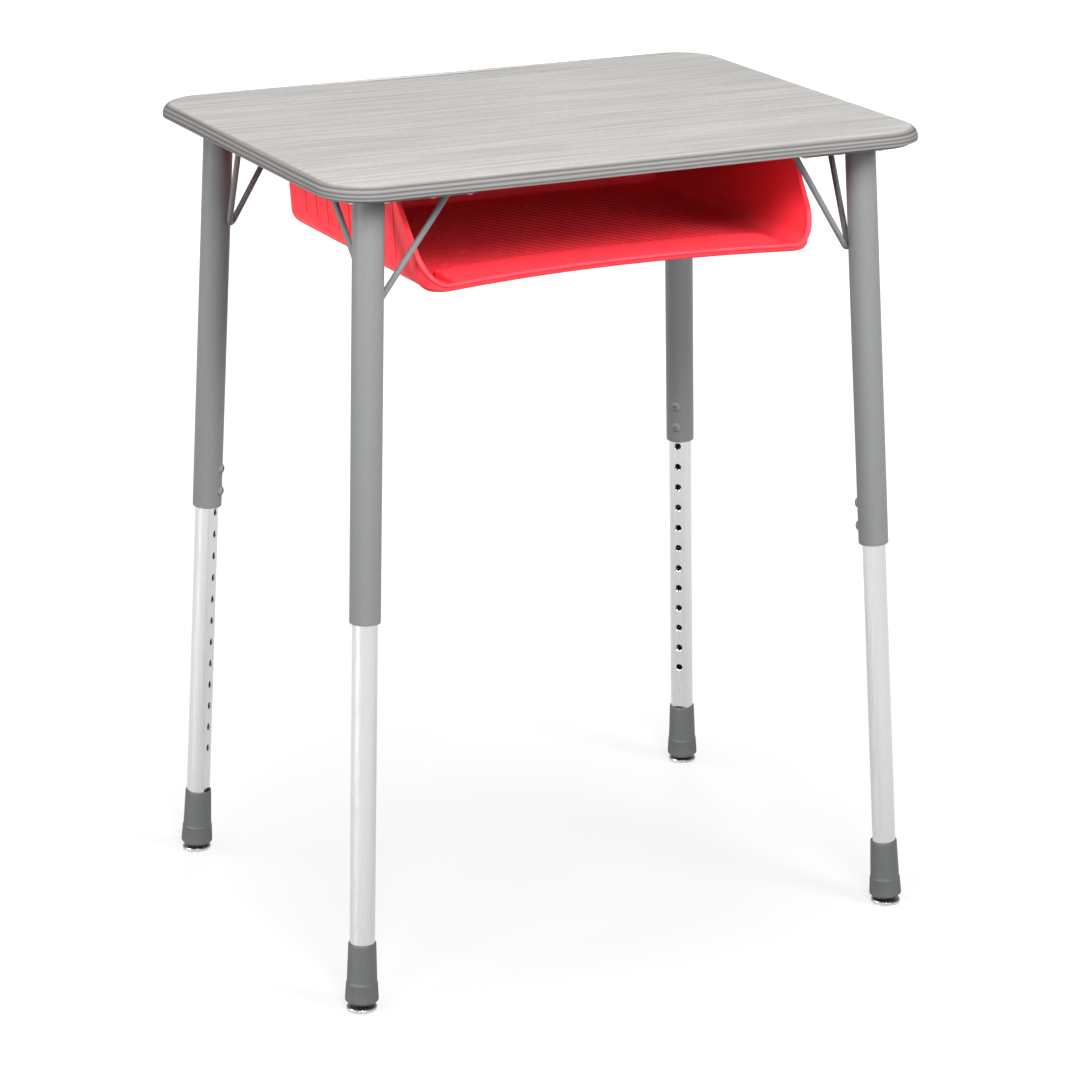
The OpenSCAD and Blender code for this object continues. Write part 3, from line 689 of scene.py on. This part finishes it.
def drain_holes():
    bores = []
    for side in (-1, 1):
        ring = circle(side * DRAIN_X, DRAIN_Y, DRAIN_R, DRAIN_SIDES)
        bores.append(bridge([[(x, y, z) for x, y in ring] for z in (BOX_Z - 1, LIP_Z + 1)]))
    return merge(bores)


def book_box():
    half = half_outline()
    loop = half + [s._replace(x=-s.x, out_x=-s.out_x) for s in half[-2:0:-1]]
    n = len(loop)
    rings = []
    for i, station in enumerate(loop):
        before, after = loop[i - 1], loop[(i + 1) % n]
        run = math.hypot(after.x - before.x, after.y - before.y)
        slope = math.hypot(run, after.rim - before.rim) / max(run, 1e-6)
        rings.append(box_profile(station, slope))
    m = len(rings[0])
    verts = [p for ring in rings for p in ring]
    faces = []
    for i in range(n):
        k = (i + 1) % n
        for j in range(m - 1):
            faces.append((i * m + j, i * m + j + 1, k * m + j + 1, k * m + j))
    faces.append(tuple(i * m for i in range(n)))
    faces.append(tuple(i * m + m - 1 for i in range(n - 1, -1, -1)))
    tub = cut(raw_mesh("tub", verts, faces), raw_mesh("drains", *drain_holes()))
    place_mesh("book_box_tub", tub, "desk_frame", "book_box", ("book_box",), 38)


book_box()


# Pads on the box's floor. A pad has these shares of its length and width at its foot and at its top.

PAD_ALONG = Vector((0.4067, -0.9135, 0))
PAD_ACROSS = Vector((0.4067, 0.9135, 0))
PAD_LENGTH = 7.0
PAD_WIDTH = 14.0
PAD_HIGH = 0.6
PAD_SUNK = 0.1
PAD_FOOT = (0.98, 0.98)
PAD_TOP = (0.90, 0.74)
PAD_X = 169
PAD_Y = 131
PAD_LEDGE_GAP = 4
PAD_ROWS = 32
ROW_PADS = 64


def pad(spot):
    rings = []
    for z, (a, b) in ((FLOOR_Z - PAD_SUNK, PAD_FOOT), (FLOOR_Z + PAD_HIGH, PAD_TOP)):
        ring = []
        for u, v in ((-1, -1), (1, -1), (1, 1), (-1, 1)):
            q = spot + PAD_ALONG * (u * a * PAD_LENGTH / 2) + PAD_ACROSS * (v * b * PAD_WIDTH / 2)
            ring.append((q.x, q.y, z))
        rings.append(ring)
    return bridge(rings, (False, True))


def floor_pads():
    """Low pads in staggered rows on the floor of the box."""
    parts = []
    for j in range(-PAD_ROWS, PAD_ROWS + 1):
        for i in range(-ROW_PADS, ROW_PADS + 1):
            spot = PAD_ALONG * PAD_LENGTH * (i + 0.5 * (j % 2)) + PAD_ACROSS * PAD_WIDTH * j
            if abs(spot.x) > PAD_X or spot.y > PAD_Y or spot.y < ledge_rear(spot.x) + PAD_LEDGE_GAP:
                continue
            parts.append(pad(spot))
    mesh = raw_mesh("book_box_floor_pads", *merge(parts))
    place_mesh("book_box_floor_pads", mesh, "desk_frame", "book_box", (), 20)


floor_pads()


# Legs

TUBE_END = 880.0
TUBE_STEPS = 96
ROD_R = 3.175
ROD_SIDES = 28
BEND_R = 7.0
BEND_STEPS = 16
BRACE_DROP = 123
BRACE_REACH = 88
BRACE_ASIDE = 9.5
BRACE_BITE = 0.5

# The boot's outline as [height, radius, share of the flutes' depth]
BOOT_FOOT = [(8.7, 3.0, 0)]
BOOT_BAND = [(8.7, 14.15, 0), (9.2, 14.6, 0), (11.2, 16.9, 0), (12.0, 17.3, 0.2), (13.0, 17.35, 1),
             (28.6, 16.45, 1), (29.8, 16.38, 0.5), (30.6, 16.25, 0), (31.2, 15.75, 0)]
BOOT_PLAIN = [(33.0, 15.62, 0), (50, 15.1, 0), (70.5, 14.45, 0), (72.6, 14.3, 0), (73.3, 14.0, 0),
              (73.6, 13.5, 0), (73.6, 12.9, 0), (60.0, 12.9, 0)]
BOOT_FLUTES = 56
BOOT_FLUTE_STEPS = 6
BOOT_FLUTE_DEEP = 0.55


def leg_tube(corner, sx, sy):
    """The outer tube, with rounded rims at its lower end and cut level where it meets its plate."""
    profile = [(BORE_R, COLLAR + 0.4), (BORE_R + 0.4, COLLAR), (OUTER_R - 0.7, COLLAR),
               (OUTER_R - 0.2, COLLAR + 0.2), (OUTER_R, COLLAR + 0.7), (OUTER_R, TUBE_END),
               (BORE_R, TUBE_END), (BORE_R, COLLAR + 0.4)]
    rings = [[(x, y, z) for x, y in circle(0, 0, r, TUBE_STEPS)] for r, z in profile]
    verts, faces = bridge(rings, (False, False))
    matrix = leg_frame(sx, sy)
    mesh = raw_mesh("tube", [matrix @ Vector(v) for v in verts], faces)
    cut_above(mesh, PLATE_Z)
    place_mesh(f"outer_tube_{corner}", mesh, "desk_frame", "paint", (f"leg_tube_{corner}",), 40)


def brace(corner, sx, sy):
    """A bent rod in the plane of its two arms, worked out for one corner and mirrored to the others."""
    low_z = UNDER_Z - BRACE_DROP
    out = (OUTER_R - BRACE_BITE) * math.cos(math.radians(45))
    bend = Vector((-FOOT[0] + low_z * LEAN + out, -FOOT[1] + low_z * LEAN + out, low_z))
    end_x = Vector((-LEG_TOP[0] + BRACE_REACH, -LEG_TOP[1] - BRACE_ASIDE, UNDER_Z))
    end_y = Vector((-LEG_TOP[0] - BRACE_ASIDE, -LEG_TOP[1] + BRACE_REACH, UNDER_Z))
    arm_x, arm_y = (end_x - bend).normalized(), (end_y - bend).normalized()
    mid, side = (arm_x + arm_y).normalized(), (arm_y - arm_x).normalized()
    up = mid.cross(side)
    half = math.acos(arm_x.dot(mid))
    length = (end_x - bend).length + ROD_R
    centre = BEND_R / math.sin(half)
    path = [(length * math.cos(half), length * math.sin(half), math.pi / 2 + half)]
    for i in range(BEND_STEPS + 1):
        a = math.pi / 2 + half + (math.pi - 2 * half) * i / BEND_STEPS
        path.append((centre + BEND_R * math.cos(a), BEND_R * math.sin(a), a))
    path.append((length * math.cos(half), -length * math.sin(half), 3 * math.pi / 2 - half))
    rings = []
    for px, py, a in path:
        ring = []
        for across, rise in circle(0, 0, ROD_R, ROD_SIDES):
            point = bend + mid * (px + across * math.cos(a)) + side * (py + across * math.sin(a)) + up * rise
            ring.append((-sx * point.x, -sy * point.y, point.z))
        rings.append(ring)
    mesh = raw_mesh("rod", *bridge(rings))
    cut_above(mesh, PLATE_Z + BRACE_BITE)
    place_mesh(f"brace_rod_{corner}", mesh, "desk_frame", "paint", (f"brace_{corner}",), 40)


def boot(corner, sx, sy):
    """The boot has a plain tapered upper part and a fluted band."""
    waves = []
    for i in range(BOOT_FLUTE_STEPS):
        waves.append(0.5 - 0.5 * math.cos(2 * math.pi * i / BOOT_FLUTE_STEPS))
    steps = BOOT_FLUTES * BOOT_FLUTE_STEPS
    rings = []
    for z, r, share in BOOT_FOOT + BOOT_BAND + BOOT_PLAIN:
        ring = []
        for i, (x, y) in enumerate(circle(0, 0, 1, steps)):
            fluted = r - BOOT_FLUTE_DEEP * share * waves[i % BOOT_FLUTE_STEPS]
            ring.append((fluted * x, fluted * y, z))
        rings.append(ring)
    verts, faces = bridge(rings)
    matrix = leg_frame(sx, sy)
    mesh = raw_mesh(f"boot_shell_{corner}", [matrix @ Vector(v) for v in verts], faces)
    place_mesh(f"boot_shell_{corner}", mesh, f"leg_{corner}", "boot", (f"boot_{corner}",), 50)


for corner, (sx, sy) in CORNERS.items():
    leg_tube(corner, sx, sy)
    brace(corner, sx, sy)
    boot(corner, sx, sy)


# Floor, light and camera, in metres

# The floor's glow rises from low to high between two distances from the desk's middle. The lower glow near
# the desk is painted shade, standing in for the desk's soft shadow on the floor.
GLOW_NEAR = 0.2
GLOW_FAR = 1.1
GLOW_PAINTED_SHADE = 0.66
GLOW_HIGH = 0.95
FLOOR_HALF = 12.0
WALL_RING_R = 11.8
WALL_TALL = 9.0
WALL_STEPS = 64
WORLD_STRENGTH = 0.28
LIGHT_AIM = Vector((0, 0, 0.75))
LIGHT_FAR = 5.5
CAMERA_PLACE = (-1.644409, -3.383396, 1.613462)
CAMERA_FALL = 17.98959
CAMERA_TURN = 26.00535
CAMERA_LENS = 121.872


def stage_floor():
    """A pale floor that glows, less so under the desk, where the dimmer glow is painted shade for the desk's
    soft shadow.
    """
    s = FLOOR_HALF
    mesh = bpy.data.meshes.new("floor")
    mesh.from_pydata([(-s, -s, 0), (s, -s, 0), (s, s, 0), (-s, s, 0)], [], [(0, 1, 2, 3)])
    floor = bpy.data.objects.new("floor", mesh)
    bpy.context.collection.objects.link(floor)
    m = Nodes("floor_white")
    m.set(Base_Color=(0.12, 0.12, 0.12, 1), Roughness=1.0, Specular_IOR_Level=0.0)
    m.set(Emission_Color=(1, 1, 1, 1))
    coords = m.add("ShaderNodeTexCoord")
    away = m.add("ShaderNodeVectorMath", operation="LENGTH")
    m.link(coords.outputs["Object"], away.inputs[0])
    # painted shade: the glow is dimmer near the desk's middle, in place of the desk's soft shadow on the
    # floor
    glow = m.spread(away.outputs["Value"], GLOW_NEAR, GLOW_FAR, GLOW_PAINTED_SHADE, GLOW_HIGH)
    m.link(glow, m.shader.inputs["Emission Strength"])
    mesh.materials.append(m.material)
    floor.visible_diffuse = False
    return m.material


def stage_wall(white):
    """A tall pale wall all round, far behind the lights, so that low views meet no horizon."""
    verts = []
    for x, y in circle(0, 0, WALL_RING_R, WALL_STEPS):
        verts += [(x, y, 0), (x, y, WALL_TALL)]
    faces = []
    for i in range(WALL_STEPS):
        j = (i + 1) % WALL_STEPS
        faces.append((2 * i, 2 * i + 1, 2 * j + 1, 2 * j))
    mesh = bpy.data.meshes.new("studio_wall")
    mesh.from_pydata(verts, [], faces)
    wall = bpy.data.objects.new("studio_wall", mesh)
    bpy.context.collection.objects.link(wall)
    mesh.materials.append(white)
    wall.visible_diffuse = False
    wall.visible_glossy = False
    wall.visible_shadow = False


def soft_box(name, azimuth, height, size, strength, gloss=True):
    """A round soft light. Azimuth 0 is in front of the desk and grows to the left."""
    light = bpy.data.lights.new(name, "AREA")
    light.shape = "DISK"
    light.size = size
    light.energy = strength * (math.pi * LIGHT_FAR) ** 2
    obj = bpy.data.objects.new(name, light)
    bpy.context.collection.objects.link(obj)
    turn, rise = math.radians(azimuth), math.radians(height)
    ray = Vector((-math.sin(turn) * math.cos(rise), -math.cos(turn) * math.cos(rise), math.sin(rise)))
    obj.location = LIGHT_AIM + ray * LIGHT_FAR
    obj.rotation_mode = "QUATERNION"
    obj.rotation_quaternion = (-ray).to_track_quat("-Z", "Y")
    obj.visible_glossy = gloss


stage_wall(stage_floor())
world = bpy.data.worlds.new("studio")
world.use_nodes = True
background = world.node_tree.nodes["Background"]
background.inputs["Color"].default_value = (1, 1, 1, 1)
background.inputs["Strength"].default_value = WORLD_STRENGTH
bpy.context.scene.world = world
soft_box("key_light", 16, 38, 2.4, 1.50)
soft_box("left_light", 52, 28, 2.0, 0.50)
soft_box("low_left_light", 85, 5, 1.8, 0.72)
soft_box("right_light", -30, 23, 2.2, 1.22, gloss=False)
soft_box("low_front_light", 10, 10, 2.0, 0.20, gloss=False)
soft_box("back_light", 120, 45, 2.4, 0.40)
soft_box("rear_light", 206, 8, 2.4, 0.80, gloss=False)
scene = bpy.context.scene
scene.view_settings.view_transform = "Standard"

camera = bpy.data.objects.new("camera", bpy.data.cameras.new("camera"))
bpy.context.collection.objects.link(camera)
camera.location = CAMERA_PLACE
camera.rotation_euler = (math.radians(90 - CAMERA_FALL), 0, math.radians(-CAMERA_TURN))
camera.data.lens = CAMERA_LENS
camera.data.sensor_width = 36
scene.camera = camera
